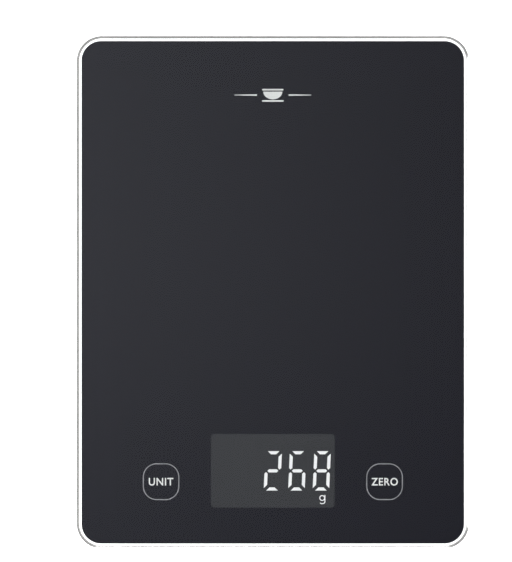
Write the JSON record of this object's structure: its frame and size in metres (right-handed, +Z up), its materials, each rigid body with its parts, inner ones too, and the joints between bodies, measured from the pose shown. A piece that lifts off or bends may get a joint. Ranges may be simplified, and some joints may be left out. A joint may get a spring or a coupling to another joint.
{
  "type": "kitchen scale",
  "caption": "Flat glass-topped digital kitchen scale with a dark printed platform, a numeric display and touch keys at the front, sprung feet and a hinged battery door underneath.",
  "frame": {"origin": "on the surface the scale stands on, under the middle of the glass platform", "axes": "+X to the right and +Y to the back of a person reading the display, +Z up"},
  "size_m": [0.173, 0.226, 0.0205],
  "materials": {
    "clear_glass": "gloss",
    "black_print": "gloss",
    "adhesive_tape": "matte",
    "black_abs": "matte",
    "smoked_filter": "gloss",
    "display_block": "matte",
    "circuit_board": "satin",
    "chip_plastic": "matte",
    "capacitor_can": "satin",
    "spring_steel": "satin",
    "contact_plate": "satin",
    "screw_steel": "satin",
    "load_cell_steel": "satin",
    "holder_plastic": "matte",
    "foot_rubber": "matte",
    "battery_sleeve": "satin",
    "grey_lead": "matte",
    "red_lead": "matte",
    "black_lead": "matte"
  },
  "bodies": {
    "housing": {"platform_glass": "clear_glass", "glass_print": "black_print", "glass_tape": "adhesive_tape", "upper_frame": "black_abs", "lower_cover": "black_abs", "display_filter": "smoked_filter", "display_reflector": "display_block", "main_board": "circuit_board", "control_chip": "chip_plastic", "converter_chip": "chip_plastic", "capacitor": "capacitor_can", "touch_spring_unit": "spring_steel", "touch_spring_zero": "spring_steel", "battery_contact_positive": "contact_plate", "battery_contact_negative": "contact_plate", "battery_contact_left_link": "contact_plate", "battery_contact_right_link": "contact_plate", "battery_lead_positive": "red_lead", "battery_lead_negative": "black_lead", "battery_1": "battery_sleeve", "battery_spring_1": "spring_steel", "battery_2": "battery_sleeve", "battery_spring_2": "spring_steel", "battery_3": "battery_sleeve", "battery_spring_3": "spring_steel", "housing_screw_1": "screw_steel", "housing_screw_2": "screw_steel", "housing_screw_3": "screw_steel", "housing_screw_4": "screw_steel", "housing_screw_5": "screw_steel", "housing_screw_6": "screw_steel", "board_screw_1": "screw_steel", "board_screw_2": "screw_steel", "board_screw_3": "screw_steel", "board_screw_4": "screw_steel", "load_cell_front_left": "load_cell_steel", "load_cell_holder_front_left": "holder_plastic", "load_cell_lead_front_left": "grey_lead", "load_cell_front_right": "load_cell_steel", "load_cell_holder_front_right": "holder_plastic", "load_cell_lead_front_right": "grey_lead", "load_cell_back_left": "load_cell_steel", "load_cell_holder_back_left": "holder_plastic", "load_cell_lead_back_left": "grey_lead", "load_cell_back_right": "load_cell_steel", "load_cell_holder_back_right": "holder_plastic", "load_cell_lead_back_right": "grey_lead"},
    "battery_cover": {"battery_cover": "black_abs"},
    "foot_front_left": {"foot_cap_front_left": "black_abs", "foot_pad_front_left": "foot_rubber"},
    "foot_front_right": {"foot_cap_front_right": "black_abs", "foot_pad_front_right": "foot_rubber"},
    "foot_back_left": {"foot_cap_back_left": "black_abs", "foot_pad_back_left": "foot_rubber"},
    "foot_back_right": {"foot_cap_back_right": "black_abs", "foot_pad_back_right": "foot_rubber"}
  },
  "joints": [
    {"name": "battery_cover_hinge", "type": "hinge", "parent": "housing", "child": "battery_cover", "pos_m": [0, 0.03115, 0.003], "axis": [1, 0, 0], "range_deg": [0, 95]},
    {"name": "foot_front_left_flex", "type": "slide", "parent": "housing", "child": "foot_front_left", "axis": [0, 0, 1], "range_m": [0, 0.0003], "stiffness_N_per_m": 60000},
    {"name": "foot_front_right_flex", "type": "slide", "parent": "housing", "child": "foot_front_right", "axis": [0, 0, 1], "range_m": [0, 0.0003], "stiffness_N_per_m": 60000},
    {"name": "foot_back_left_flex", "type": "slide", "parent": "housing", "child": "foot_back_left", "axis": [0, 0, 1], "range_m": [0, 0.0003], "stiffness_N_per_m": 60000},
    {"name": "foot_back_right_flex", "type": "slide", "parent": "housing", "child": "foot_back_right", "axis": [0, 0, 1], "range_m": [0, 0.0003], "stiffness_N_per_m": 60000}
  ]
}
